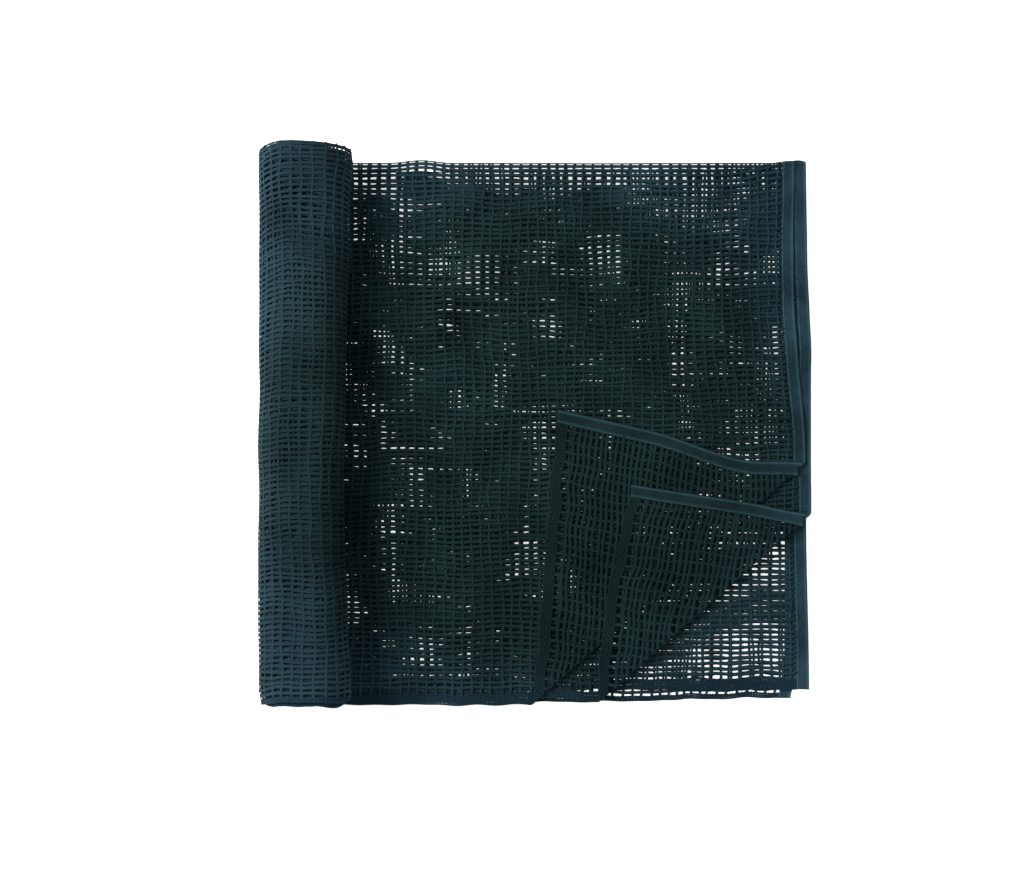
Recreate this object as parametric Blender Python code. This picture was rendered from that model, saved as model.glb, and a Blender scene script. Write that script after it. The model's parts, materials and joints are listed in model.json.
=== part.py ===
"""A net cloth folded in four and part rolled, with two of its corners turned back.

The cloth is folded in half along its length, then end to end, so that four layers
lie on each other with their hemmed ends at +X and their woven edges at -Y. It is
rolled up from the folded end at -X. The lower right corners of the two upper layers
are turned back over straight creases, and each one hinges at its crease.

Metres, +Z up. The origin is the middle of the cloth's box, on the surface it lies on.
"""

import math
from dataclasses import dataclass

import bmesh
import bpy
from mathutils import Vector

# The cloth.
THICKNESS = 0.0009
LAYER_PITCH = 0.00125
LAYERS = 4
HEM_WIDTH = 0.0105
SELVAGE_WIDTH = 0.009
GAP = 0.0003

# The folded stack. The outer edges of the four layers don't quite meet.
HALF_LENGTH = 0.2285
HALF_WIDTH = 0.225
RIGHT_EDGES = {1: 0.2180, 2: 0.2285, 3: 0.2245, 4: 0.2105}
LOWER_EDGES = {1: -0.2240, 2: -0.2205, 3: -0.2130, 4: -0.2250}
UPPER_PAIR_STEP = 0.008
FOLD_LEG = 0.003
FOLD_SEGMENTS = 6

# The roll: a flattened spiral of whole turns, wound upwards from the stack's left end.
ROLL_RADIUS = 0.029
ROLL_HALF_FLAT = 0.0095
ROLL_PITCH = 0.0055
ROLL_TURNS = 4
HALF_TURN_SEGMENTS = 8

# The two turned corners: where each crease meets the hemmed end and the woven edge,
# and where the corner's tip lies.
FIRST_CREASE_RIGHT = Vector((0.2180, -0.0285))
FIRST_CREASE_LOW = Vector((-0.0060, -0.2240))
FIRST_TIP = Vector((0.0150, 0.0165))
SECOND_CREASE_RIGHT = Vector((0.2230, -0.0700))
SECOND_CREASE_LOW = Vector((0.0500, -0.2205))
SECOND_TIP = Vector((0.0775, -0.0450))
CREASE_CLEARANCE = 0.0006

# The springy creases hold the turned corners a little above the cloth under them.
FIRST_FLAP_HEIGHT = 0.0062
SECOND_FLAP_HEIGHT = 0.0077

# Colour, roughness and metallic value of each finish.
NET = ("net", (0.030, 0.052, 0.058), 0.80)
TAPE = ("tape", (0.045, 0.074, 0.086), 0.70)
EDGE = ("edge", (0.036, 0.062, 0.078), 0.75)


@dataclass(frozen=True)
class TurnedCorner:
    """A corner of one layer, turned back over a crease that is its hinge.

    flap_height is the height of the turned corner's middle surface. The hinge axis lies
    halfway between it and the layer, so that half a turn lays the corner flat in its layer.
    """

    layer: int
    crease_right: Vector
    crease_low: Vector
    tip: Vector
    flap_height: float

    def inward(self):
        """Return the unit vector across the crease, towards the rest of the layer."""
        along = (self.crease_right - self.crease_low).normalized()
        return Vector((-along.y, along.x))

    def axis_point(self):
        """Return the point of the hinge axis at the crease's middle."""
        middle = (self.crease_right + self.crease_low) / 2
        return Vector((middle.x, middle.y, (layer_height(self.layer) + self.flap_height) / 2))


CORNERS = {
    1: TurnedCorner(1, FIRST_CREASE_RIGHT, FIRST_CREASE_LOW, FIRST_TIP, FIRST_FLAP_HEIGHT),
    2: TurnedCorner(2, SECOND_CREASE_RIGHT, SECOND_CREASE_LOW, SECOND_TIP, SECOND_FLAP_HEIGHT),
}


def layer_height(layer):
    """Return the height of a layer's middle surface; layer 1 is the top one."""
    return THICKNESS / 2 + (LAYERS - layer) * LAYER_PITCH


def roll_centre():
    """Return the X of the roll's middle, where the flat stack runs into it."""
    quarter = math.pi / 2
    inset = ROLL_PITCH * (quarter - 1) / (2 * math.pi)
    return -HALF_LENGTH + ROLL_HALF_FLAT + ROLL_RADIUS - inset


def clear_scene():
    """Remove every object of the scene."""
    for old in list(bpy.data.objects):
        bpy.data.objects.remove(old, do_unlink=True)


def make_material(finish):
    """Return the Principled material of a finish, made once."""
    name, colour, roughness = finish
    material = bpy.data.materials.get(name)
    if material is None:
        material = bpy.data.materials.new(name)
        material.use_nodes = True
        shader = material.node_tree.nodes["Principled BSDF"]
        shader.inputs["Base Color"].default_value = (*colour, 1.0)
        shader.inputs["Roughness"].default_value = roughness
        shader.inputs["Metallic"].default_value = 0.0
        material.diffuse_color = (*colour, 1.0)
    return material


def add_object(name, mesh, finish, origin, thickness=THICKNESS):
    """Add a sheet as an object that a Solidify modifier gives its thickness."""
    piece = bpy.data.objects.new(name, mesh)
    piece.location = origin
    mesh.materials.append(make_material(finish))
    bpy.context.scene.collection.objects.link(piece)
    solid = piece.modifiers.new("thickness", "SOLIDIFY")
    solid.thickness = thickness
    solid.offset = 0.0
    solid.use_even_offset = True
    return piece


def clip(outline, point, inward):
    """Return the part of a convex outline on the inward side of a line."""
    kept = []
    for here, after in zip(outline, outline[1:] + outline[:1]):
        depth = (here - point).dot(inward)
        depth_after = (after - point).dot(inward)
        if depth >= 0:
            kept.append(here)
        if depth * depth_after < 0:
            kept.append(here.lerp(after, depth / (depth - depth_after)))
    return kept


def rectangle(x_low, x_high, y_low, y_high):
    """Return the outline of a rectangle."""
    corners = ((x_low, y_low), (x_high, y_low), (x_high, y_high), (x_low, y_high))
    return [Vector(corner) for corner in corners]


def plate(name, outline, height, finish, origin=Vector((0, 0, 0))):
    """Add a flat piece of cloth of the given outline."""
    shape = bmesh.new()
    verts = [shape.verts.new(Vector((p.x, p.y, height)) - origin) for p in outline]
    shape.faces.new(verts)
    bmesh.ops.recalc_face_normals(shape, faces=shape.faces)
    mesh = bpy.data.meshes.new(name)
    shape.to_mesh(mesh)
    shape.free()
    return add_object(name, mesh, finish, origin)


def ribbon(name, profile, direction, finish, thickness=THICKNESS):
    """Add the sheet that a line of points sweeps along a straight direction."""
    shape = bmesh.new()
    verts = [shape.verts.new(point) for point in profile]
    edges = [shape.edges.new(pair) for pair in zip(verts, verts[1:])]
    swept = bmesh.ops.extrude_edge_only(shape, edges=edges)["geom"]
    moved = [item for item in swept if isinstance(item, bmesh.types.BMVert)]
    bmesh.ops.translate(shape, verts=moved, vec=direction)
    bmesh.ops.recalc_face_normals(shape, faces=shape.faces)
    mesh = bpy.data.meshes.new(name)
    shape.to_mesh(mesh)
    shape.free()
    piece = add_object(name, mesh, finish, Vector((0, 0, 0)), thickness)
    mesh.shade_smooth()
    mesh.set_sharp_from_angle(angle=math.radians(40))
    return piece


def layer_top(layer):
    """Return the Y of the folded edge that a layer belongs to."""
    return HALF_WIDTH - (UPPER_PAIR_STEP if layer <= 2 else 0.0)


def fold_inset():
    """Return how far a folded edge's strip reaches in from its outermost point."""
    return FOLD_LEG + LAYER_PITCH / 2 + THICKNESS / 2


def make_flat_layer(layer):
    """Add one layer's net, woven edge and hem, cut off at its crease if it has one."""
    left = roll_centre() + GAP / 2
    right = RIGHT_EDGES[layer]
    low = LOWER_EDGES[layer]
    top = layer_top(layer) - fold_inset() - GAP
    hem_inner = right - HEM_WIDTH
    shapes = {
        "net": (rectangle(left, hem_inner - GAP, low + SELVAGE_WIDTH + GAP, top), NET),
        "selvage": (rectangle(left, hem_inner - GAP, low, low + SELVAGE_WIDTH), EDGE),
        "hem": (rectangle(hem_inner, right, low, top), TAPE),
    }
    corner = CORNERS.get(layer)
    for part, (outline, finish) in shapes.items():
        if corner:
            inward = corner.inward()
            edge = corner.crease_low + inward * CREASE_CLEARANCE
            outline = clip(outline, edge, inward)
        plate(f"layer_{layer}_{part}", outline, layer_height(layer), finish)


def make_flap(corner):
    """Add the net, woven edge and hem of a turned corner, on its hinge axis."""
    inward = corner.inward()
    triangle = [corner.tip, corner.crease_low, corner.crease_right]
    whole = clip(triangle, corner.crease_low + inward * CREASE_CLEARANCE, inward)
    hem_along = (corner.crease_right - corner.tip).normalized()
    hem_across = Vector((hem_along.y, -hem_along.x))
    edge_along = (corner.crease_low - corner.tip).normalized()
    edge_across = Vector((-edge_along.y, edge_along.x))
    hem_line = corner.tip + hem_across * HEM_WIDTH
    edge_line = corner.tip + edge_across * SELVAGE_WIDTH
    below_hem = clip(whole, hem_line + hem_across * GAP, hem_across)
    shapes = {
        "hem": (clip(whole, hem_line, -hem_across), TAPE),
        "selvage": (clip(below_hem, edge_line, -edge_across), EDGE),
        "net": (clip(below_hem, edge_line + edge_across * GAP, edge_across), NET),
    }
    for part, (outline, finish) in shapes.items():
        name = f"flap_{corner.layer}_{part}"
        plate(name, outline, corner.flap_height, finish, corner.axis_point())


def fold_profile(start, towards, radius, upward):
    """Return a U: a leg, a half turn and a leg back.

    start is the end of the first leg, towards the unit vector along it, radius half
    the distance between the legs, and upward the unit vector from leg to leg.
    """
    bend = start + towards * FOLD_LEG
    middle = bend + upward * radius
    points = [start]
    for step in range(FOLD_SEGMENTS + 1):
        angle = math.pi * step / FOLD_SEGMENTS
        points.append(middle + towards * radius * math.sin(angle) - upward * radius * math.cos(angle))
    points.append(start + upward * 2 * radius)
    return points


def make_edge_folds():
    """Add the two folded long edges of the flat stack."""
    left = roll_centre() + GAP / 2
    for name, lower_layer in (("upper_pair_fold", 2), ("lower_pair_fold", 4)):
        right = min(RIGHT_EDGES[lower_layer], RIGHT_EDGES[lower_layer - 1])
        y = layer_top(lower_layer) - fold_inset()
        start = Vector((left, y, layer_height(lower_layer)))
        profile = fold_profile(start, Vector((0, 1, 0)), LAYER_PITCH / 2, Vector((0, 0, 1)))
        ribbon(name, profile, Vector((right - left, 0, 0)), TAPE)


def spiral_point(turned, depth, side):
    """Return a point of the roll.

    turned is the angle wound so far, depth the distance in from the outermost face,
    and side -1, 0 or 1 for the left end, the middle or the right end of the flat.
    """
    inset = depth + ROLL_PITCH * (turned - math.sin(turned)) / (2 * math.pi)
    radius = ROLL_RADIUS - inset
    x = roll_centre() + side * ROLL_HALF_FLAT - radius * math.sin(turned)
    return Vector((x, 0.0, ROLL_RADIUS - radius * math.cos(turned)))


def spiral(depth):
    """Return the line of a roll layer, from the flat stack to the roll's core."""
    points = [spiral_point(0.0, depth, 0) - Vector((GAP / 2, 0, 0))]
    for half_turn in range(2 * ROLL_TURNS):
        side = -1 if half_turn % 2 == 0 else 1
        for step in range(HALF_TURN_SEGMENTS + 1):
            turned = math.pi * (half_turn + step / HALF_TURN_SEGMENTS)
            points.append(spiral_point(turned, depth, side))
    points.append(spiral_point(2 * math.pi * ROLL_TURNS, depth, 0))
    return points


def shift(points, y):
    """Return the points moved to a given Y."""
    return [Vector((p.x, y, p.z)) for p in points]


def make_roll():
    """Add the wound stretch of each layer, its woven edge and the folded edges."""
    for layer in range(1, LAYERS + 1):
        line = spiral(layer_height(layer))
        low = LOWER_EDGES[layer]
        inner = low + SELVAGE_WIDTH + GAP
        top = layer_top(layer) - fold_inset() - GAP
        ribbon(f"roll_{layer}_net", shift(line, inner), Vector((0, top - inner, 0)), NET)
        ribbon(f"roll_{layer}_selvage", shift(line, low), Vector((0, SELVAGE_WIDTH, 0)), EDGE)
    for name, lower_layer in (("roll_upper_fold", 2), ("roll_lower_fold", 4)):
        line = spiral(layer_height(lower_layer) + LAYER_PITCH / 2)
        start = layer_top(lower_layer) - fold_inset()
        strip = Vector((0, fold_inset(), 0))
        ribbon(name, shift(line, start), strip, TAPE, thickness=LAYER_PITCH + THICKNESS)


def make_core_folds():
    """Add the two end-to-end folds at the roll's core, one inside the other."""
    turned = 2 * math.pi * ROLL_TURNS
    for name, lower_layer, pitches in (("core_fold_outer", 4, 3), ("core_fold_inner", 3, 1)):
        base = spiral_point(turned, layer_height(lower_layer), 0)
        start = Vector((base.x - GAP, LOWER_EDGES[4], base.z))
        radius = pitches * LAYER_PITCH / 2
        profile = fold_profile(start, Vector((-1, 0, 0)), radius, Vector((0, 0, 1)))
        top = layer_top(1) - fold_inset() - GAP
        ribbon(name, profile, Vector((0, top - LOWER_EDGES[4], 0)), NET)


def main():
    """Build the cloth."""
    clear_scene()
    for layer in range(1, LAYERS + 1):
        make_flat_layer(layer)
    make_edge_folds()
    for corner in CORNERS.values():
        make_flap(corner)
    make_roll()
    make_core_folds()


main()
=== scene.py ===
"""Looks of a net cloth, folded in four and part rolled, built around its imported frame.

The cloth is woven from round yarns: every row and column of the net is a strand of
its own shape. The strands, the woven edges and the sewn hems all follow one mapping
from the cloth's own coordinates to the place where the folded cloth lies.

Metres, +Z up, in the frame's own axes.
"""

import json
import logging
import math
from dataclasses import dataclass, field, replace
from enum import Enum

import bpy
import numpy as np
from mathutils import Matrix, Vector


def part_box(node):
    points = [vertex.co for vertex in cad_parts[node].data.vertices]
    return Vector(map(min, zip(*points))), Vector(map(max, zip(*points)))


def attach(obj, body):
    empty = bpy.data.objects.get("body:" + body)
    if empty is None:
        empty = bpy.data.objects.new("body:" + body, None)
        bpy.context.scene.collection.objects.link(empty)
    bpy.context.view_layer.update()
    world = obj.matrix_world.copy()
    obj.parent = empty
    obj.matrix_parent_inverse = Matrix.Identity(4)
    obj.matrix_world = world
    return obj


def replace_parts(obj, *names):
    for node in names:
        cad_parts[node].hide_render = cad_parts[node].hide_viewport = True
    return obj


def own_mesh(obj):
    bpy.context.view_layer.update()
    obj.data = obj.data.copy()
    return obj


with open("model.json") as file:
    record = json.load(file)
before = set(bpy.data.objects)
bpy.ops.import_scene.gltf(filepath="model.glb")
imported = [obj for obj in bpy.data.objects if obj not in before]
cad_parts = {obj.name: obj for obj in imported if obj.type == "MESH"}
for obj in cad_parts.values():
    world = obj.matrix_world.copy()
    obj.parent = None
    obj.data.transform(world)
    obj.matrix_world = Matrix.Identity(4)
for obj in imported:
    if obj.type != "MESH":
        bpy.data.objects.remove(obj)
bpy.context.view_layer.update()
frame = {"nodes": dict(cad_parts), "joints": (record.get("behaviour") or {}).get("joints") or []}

LOG = logging.getLogger("net_cloth")
Y_AXIS = np.array([0.0, 1.0, 0.0])
# The mesh attribute that marks raised parts, such as the hem tape's beads, for their painted highlight.
RAISED = "raised"

# How the whole cloth fans out and lengthens towards its upper end.
FAN = 0.0885
FAN_CENTRE = -0.0218
LENGTHENING = 0.008

# How far a flat layer, a bend and a woven edge keep away from the crease they end at.
CREASE_MARGIN = 0.002
BEND_MARGIN = 0.0004
BAND_MARGIN = 0.0012

# Half the thickness of a turned corner's tape, and for each crease a share of its
# height to keep when its corner is laid open, which the script reads but doesn't apply.
TURNED_TAPE_HALF = 0.0005
CREASE_KEPT = {1: 0.3, 2: 0.15}


class Body(Enum):
    """The bodies of the frame that pieces ride on."""

    CLOTH = "folded_cloth"
    FIRST_FLAP = "flap_1"
    SECOND_FLAP = "flap_2"


class Slot(Enum):
    """Names of material slots, passed to dress with each finish."""

    NET = "net"
    TAPE = "hem_tape"
    EDGE = "selvage"


FLAP_BODIES = {1: Body.FIRST_FLAP, 2: Body.SECOND_FLAP}


def ease(share: np.ndarray) -> np.ndarray:
    """Return a smooth step from 0 to 1 as share goes from 0 to 1."""
    held = np.clip(share, 0.0, 1.0)
    return held * held * (3 - 2 * held)


@dataclass(frozen=True)
class Drift:
    """Slow wandering of the cloth, a sum of long waves with chance directions.

    reach is the usual size of the wander, lean how far the waves turn away from
    running along the first coordinate, in radians.
    """

    reach: float
    shortest: float
    longest: float
    seed: int
    lean: float = math.pi
    waves: int = 7

    def at(self, first: np.ndarray, second: np.ndarray) -> np.ndarray:
        """Return the wander at the given coordinates.

        Args:
            first: the first coordinate of each point.
            second: the second coordinate of each point.

        Returns:
            The wander of each point, in metres.
        """
        draw = np.random.default_rng(self.seed)
        angle = draw.uniform(-self.lean, self.lean, self.waves)
        length = draw.uniform(self.shortest, self.longest, self.waves)
        phase = draw.uniform(0.0, 2 * math.pi, self.waves)
        turned = np.outer(first, np.cos(angle)) + np.outer(second, np.sin(angle))
        total = np.sin(2 * math.pi * turned / length + phase).sum(axis=1)
        return self.reach * total / math.sqrt(self.waves / 2)


@dataclass(frozen=True)
class Bow:
    """A smooth line of sideways shifts through a few (place, shift) pairs."""

    knots: tuple[tuple[float, float], ...] = ((0.0, 0.0),)

    def at(self, place: np.ndarray) -> np.ndarray:
        """Return the shift at each place.

        Args:
            place: how far along the line each point is.

        Returns:
            The shift of each point.
        """
        places = np.array([knot[0] for knot in self.knots])
        shifts = np.array([knot[1] for knot in self.knots])
        if len(places) == 1:
            return np.full(np.shape(place), shifts[0])
        position = np.interp(place, places, np.arange(len(places), dtype=float))
        below = np.minimum(position.astype(int), len(places) - 2)
        share = ease(position - below)
        return shifts[below] * (1 - share) + shifts[below + 1] * share


def fanned(x: np.ndarray, y: np.ndarray) -> tuple[np.ndarray, np.ndarray]:
    """Return points moved as the cloth fans out a little towards its upper end."""
    wide = FAN_CENTRE + (x - FAN_CENTRE) * (1 + FAN * y)
    return wide, y + FAN * y * y + LENGTHENING * y


@dataclass(frozen=True)
class RollPath:
    """The wound line of the roll, a flattened spiral that starts under the stack."""

    centre_x: float
    radius: float = 0.029
    half_flat: float = 0.0095
    pitch: float = 0.0055
    turns: int = 4
    steps: int = 40
    middle_depth: float = 0.0023

    @property
    def length(self) -> float:
        """The length of cloth wound in the roll, along the middle of its four layers."""
        return float(self.line(self.middle_depth)[0][-1])

    def line(self, depth: float) -> tuple[np.ndarray, np.ndarray]:
        """Trace one layer's line through the roll.

        Args:
            depth: how far the layer lies in from the roll's outermost face.

        Returns:
            The length wound up to each point, and the points' X and Z as two columns.
        """
        points = [self.point(0.0, depth, 0)]
        for half_turn in range(2 * self.turns):
            side = -1 if half_turn % 2 == 0 else 1
            for step in range(self.steps + 1):
                turned = math.pi * (half_turn + step / self.steps)
                points.append(self.point(turned, depth, side))
        points.append(self.point(2 * math.pi * self.turns, depth, 0))
        table = np.array(points)
        lengths = np.linalg.norm(np.diff(table, axis=0), axis=1)
        return np.concatenate([[0.0], np.cumsum(lengths)]), table

    def point(self, turned: float, depth: float, side: int) -> tuple[float, float]:
        """Return the X and Z of a point of the line after a given angle.

        Args:
            turned: the angle wound so far, in radians.
            depth: how far the layer lies in from the roll's outermost face.
            side: 1 or -1 for the two ends of the flattened middle, 0 for its centre.

        Returns:
            The point's X and Z.
        """
        inset = depth + self.pitch * (turned - math.sin(turned)) / (2 * math.pi)
        radius = self.radius - inset
        x = self.centre_x + side * self.half_flat - radius * math.sin(turned)
        return x, self.radius - radius * math.cos(turned)


@dataclass(frozen=True)
class Crease:
    """The fold over which a layer's corner is turned back, and which is its hinge."""

    point: np.ndarray
    outward: np.ndarray
    corner: np.ndarray
    tip: np.ndarray
    layer_height: float
    flap_height: float

    @property
    def radius(self) -> float:
        """The radius of the bend."""
        return (self.flap_height - self.layer_height) / 2

    @property
    def end(self) -> float:
        """How far past the crease's line the bend's cloth reaches, before it is folded."""
        return (math.pi - 1) * self.radius

    def depth(self, x: np.ndarray, y: np.ndarray) -> np.ndarray:
        """Return how far points lie past the crease, before it is folded."""
        return (x - self.point[0]) * self.outward[0] + (y - self.point[1]) * self.outward[1]

    def slant(self) -> np.ndarray:
        """Return where a metre of the turned corner's depth leads, in X and Y."""
        depth = float(self.depth(self.corner[0], self.corner[1]))
        foot = self.corner - depth * self.outward
        return (self.tip - foot) / (depth - self.end)

    def fold(
        self,
        x: np.ndarray,
        y: np.ndarray,
        rise: np.ndarray,
        laid: bool,
    ) -> tuple[np.ndarray, np.ndarray]:
        """Fold points of the layer over the crease.

        Args:
            x: X of each point in the flat layer.
            y: Y of each point in the flat layer.
            rise: how far each point lies above the layer's middle surface.
            laid: whether the points belong to the turned corner, which is flat up to the crease.

        Returns:
            The folded points, and the cloth's normals there.
        """
        depth = self.depth(x, y)
        foot = np.stack([x, y], axis=1) - depth[:, None] * self.outward
        bent = np.maximum(depth, self.end) if laid else depth
        angle = np.clip((bent + self.radius) / self.radius, 0.0, math.pi)
        beyond = depth - self.end if laid else np.maximum(depth - self.end, 0.0)
        before = np.minimum(bent, -self.radius)
        across = before + (self.radius - rise) * np.sin(angle)
        flat = foot + across[:, None] * self.outward + beyond[:, None] * self.slant()
        flat += self.radius * ease(beyond / 0.02)[:, None] * self.outward
        height = self.layer_height + self.radius - (self.radius - rise) * np.cos(angle)
        points = np.column_stack([flat, height])
        normals = np.column_stack([-np.sin(angle)[:, None] * self.outward, np.cos(angle)])
        return points, normals


@dataclass(frozen=True)
class ClothLayer:
    """One of the four layers: where each point of its cloth lies.

    A point's u runs from the hem's inner edge towards the roll and on through it,
    and its v from the woven edge's inner side up to the long fold.
    """

    number: int
    hem_inner: float
    hem_outer: float
    net_right: float
    low: float
    inner_y: float
    span: float
    height: float
    roll: RollPath
    crease: Crease | None = None
    hem_bow: Bow = Bow()
    low_bow: Bow = Bow()
    top_bow: Bow = Bow()
    flare: Bow = Bow()
    hem_reach: float = 0.09
    edge_fade: float = 0.03
    bow_fade: float = 0.07
    band_width: float = 0.009
    telescope: float = 0.0006
    tuck: float = 0.0022
    crown: float = 0.0042
    stretch: float = 0.0012
    sag: float = 0.0009
    lift: float = 0.0022
    fray: float = 0.0005
    even_from: tuple[float, float] = (0.02, -0.03)
    even_fade: float = 0.07
    lift_from: tuple[float, float] = (-0.01, 0.02)
    lift_fade: float = 0.05
    lift_end: float = 0.03
    upper_share: float = 0.6
    roll_half_width: float = 0.0335
    start_fade: float = 0.03
    flare_from: float = 0.04
    tuck_from: float = 0.211
    tuck_fade: float = 0.016
    crown_from: float = 0.12
    crown_fade: float = 0.1
    end_from: float = 0.2
    end_fade: float = 0.03
    end_share: float = 0.3
    laid: bool = False

    @property
    def flat_length(self) -> float:
        """The length of cloth from the hem's inner edge to the start of the roll."""
        return self.net_right - self.roll.centre_x

    def spread(self, u: np.ndarray, v: np.ndarray) -> tuple[np.ndarray, np.ndarray]:
        """Return X along the unwound layer, and Y, of points of the cloth.

        Args:
            u: distance of each point from the hem's inner edge.
            v: distance of each point from the woven edge's inner side.

        Returns:
            The X and the Y of each point.
        """
        inside = np.maximum(u, 0.0)
        held = 1 / (1 + (inside / self.hem_reach) ** 2)
        clear_of_hem = ease(inside / self.edge_fade)
        clear_of_edges = ease(v / self.edge_fade) * ease((self.span - v) / self.edge_fade)
        along = Drift(self.stretch, shortest=0.07, longest=0.16, seed=10 + self.number, lean=0.9)
        across = Drift(self.sag, shortest=0.06, longest=0.14, seed=20 + self.number, lean=0.9)
        y = self.inner_y + v
        hem_shift = self.hem_inner - self.net_right + self.hem_bow.at(y)
        x = self.net_right - u + hem_shift * held + along.at(u, v) * clear_of_hem
        near_top = np.exp(-(((self.span - v) / self.edge_fade) ** 2))
        near_low = np.exp(-((v / self.bow_fade) ** 2))
        frayed = Drift(self.fray, shortest=0.018, longest=0.05, seed=35 + self.number)
        ragged = frayed.at(u, np.zeros(len(u))) * np.exp(-((v / self.edge_fade) ** 2))
        y = y + self.low_bow.at(x) * near_low + ragged + self.top_bow.at(x) * near_top
        even = 0.0
        if self.number in (3, 4):
            right, low = self.even_from
            even = ease((x - right) / self.even_fade) * ease((low - y) / self.even_fade)
        return x, y + across.at(u, v) * clear_of_edges * (1 - even)

    def depth(self, u: np.ndarray, v: np.ndarray) -> np.ndarray:
        """Return how far points lie past the layer's crease, or far before it if it has none.

        Args:
            u: distance of each point from the hem's inner edge.
            v: distance of each point from the woven edge's inner side.

        Returns:
            The depth of each point.
        """
        if self.crease is None:
            return np.full(np.shape(u), -1.0)
        return self.crease.depth(*fanned(*self.spread(u, v)))

    def place(self, u: np.ndarray, v: np.ndarray, rise: np.ndarray) -> tuple[np.ndarray, np.ndarray]:
        """Find where points of the cloth lie.

        Args:
            u: distance of each point from the hem's inner edge.
            v: distance of each point from the woven edge's inner side.
            rise: how far each point lies above the layer's middle surface.

        Returns:
            The points, and the cloth's normals there.
        """
        x, y = self.spread(u, v)
        wound = self.roll.centre_x - x
        lift = self.lifted(x, y)
        rolled = wound > 0
        flat_x, flat_y = fanned(x, y)
        if self.crease is not None and not rolled.any():
            points, normals = self.crease.fold(flat_x, flat_y, rise, self.laid)
            points[:, 2] += lift
            return points, normals
        points = np.column_stack([flat_x, flat_y, self.height + rise + lift])
        normals = np.tile(np.array([0.0, 0.0, 1.0]), (len(x), 1))
        if rolled.any():
            wound_points, normals[rolled] = self.wind(wound[rolled], y[rolled], rise[rolled])
            wound_points[:, :2] = np.column_stack(fanned(wound_points[:, 0], wound_points[:, 1]))
            points[rolled] = wound_points
        return points, normals

    def lifted(self, x: np.ndarray, y: np.ndarray) -> np.ndarray:
        """Return how far the whole stack stands off the surface under it.

        Args:
            x: X of each point.
            y: Y of each point.

        Returns:
            The height of each point.
        """
        waves = Drift(self.lift, shortest=0.035, longest=0.10, seed=31, lean=0.8)
        right, low = self.lift_from
        left = ease((right - x) / self.lift_fade) * ease((x - self.roll.centre_x) / self.lift_end)
        below_fold = ease((self.inner_y + self.span - y) / self.lift_end)
        upper = ease((y - low) / self.lift_fade) * below_fold
        height = np.maximum(waves.at(x, y) + self.lift, 0.0)
        return height * np.maximum(left, upper * self.upper_share) * upper

    def wind(self, wound: np.ndarray, y: np.ndarray, rise: np.ndarray) -> tuple[np.ndarray, np.ndarray]:
        """Wind points up in the roll.

        Args:
            wound: the length of cloth from the roll's start to each point.
            y: Y of each point.
            rise: how far each point lies above the layer's middle surface.

        Returns:
            The points, and the cloth's normals there.
        """
        lengths, table = self.roll.line(self.height)
        lengths = lengths * (self.roll.length / lengths[-1])
        step = 0.0006
        here, ahead, behind = (
            np.column_stack([np.interp(wound + shift, lengths, table[:, axis]) for axis in (0, 1)])
            for shift in (0.0, step, -step)
        )
        along = ahead - behind
        along /= np.maximum(np.linalg.norm(along, axis=1), 1e-9)[:, None]
        normal = np.column_stack([along[:, 1], -along[:, 0]])
        turn = wound / lengths[-1] * self.roll.turns
        started = ease(wound / self.start_fade)
        swell = Drift(0.0004, shortest=0.04, longest=0.13, seed=41).at(wound, y) * started
        flat = here + normal * (rise + swell)[:, None]
        sides = (flat[:, 0] - self.roll.centre_x) / self.roll_half_width
        sideways = np.clip(sides, 0.0, 1.0)
        flat[:, 0] += self.flare.at(y) * sideways * ease((wound - self.flare_from) / self.flare_from)
        tucked = np.clip(sides * np.sign(y), 0.0, 1.0) * np.sign(sides)
        flat[:, 0] -= self.tuck * ease((np.abs(y) - self.tuck_from) / self.tuck_fade) * tucked
        crown = (flat[:, 1] / (2 * self.roll.radius)) ** 2 * ease((y - self.crown_from) / self.crown_fade)
        ended = self.end_share * ease((y - self.end_from) / self.end_fade)
        telescoped = self.telescope * turn * np.sign(y) * ease(np.abs(y) / self.end_from)
        slipped = telescoped - self.crown * (crown - ended)
        frayed = Drift(0.0009, shortest=0.03, longest=0.09, seed=51 + self.number)
        y = y - slipped + frayed.at(wound, np.zeros(len(wound))) * started
        points = np.column_stack([flat[:, 0], y, flat[:, 1]])
        normals = np.column_stack([normal[:, 0], np.zeros(len(y)), normal[:, 1]])
        return points, normals


@dataclass(frozen=True)
class Strand:
    """One yarn in the cloth's own coordinates: u, v, rise and thickness at each of its points."""

    line: np.ndarray

    def between(self, measure: np.ndarray, low: float, high: float) -> "Strand | None":
        """Cut out the stretch where a measure lies between two values.

        Args:
            measure: a value at each of the strand's points, which rises or falls along it.
            low: the lowest value kept.
            high: the highest value kept.

        Returns:
            The stretch, or None if nothing of it is long enough to keep.
        """
        kept = []
        for index in range(len(measure)):
            value = measure[index]
            if low <= value <= high:
                kept.append(self.line[index])
            if index + 1 == len(measure):
                break
            after = measure[index + 1]
            crossings = [
                (limit - value) / (after - value)
                for limit in (low, high)
                if (value - limit) * (after - limit) < 0
            ]
            step = self.line[index + 1] - self.line[index]
            kept.extend(self.line[index] + step * share for share in sorted(crossings))
        if len(kept) < 2:
            return None
        return Strand(np.array(kept))

    def finer(self, times: int) -> "Strand":
        """Return the same strand with each of its steps split into several.

        Args:
            times: how many steps each step is split into.

        Returns:
            The finer strand.
        """
        places = np.arange(len(self.line), dtype=float)
        fine = np.linspace(0, len(self.line) - 1, (len(self.line) - 1) * times + 1)
        return Strand(np.column_stack([np.interp(fine, places, column) for column in self.line.T]))


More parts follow.
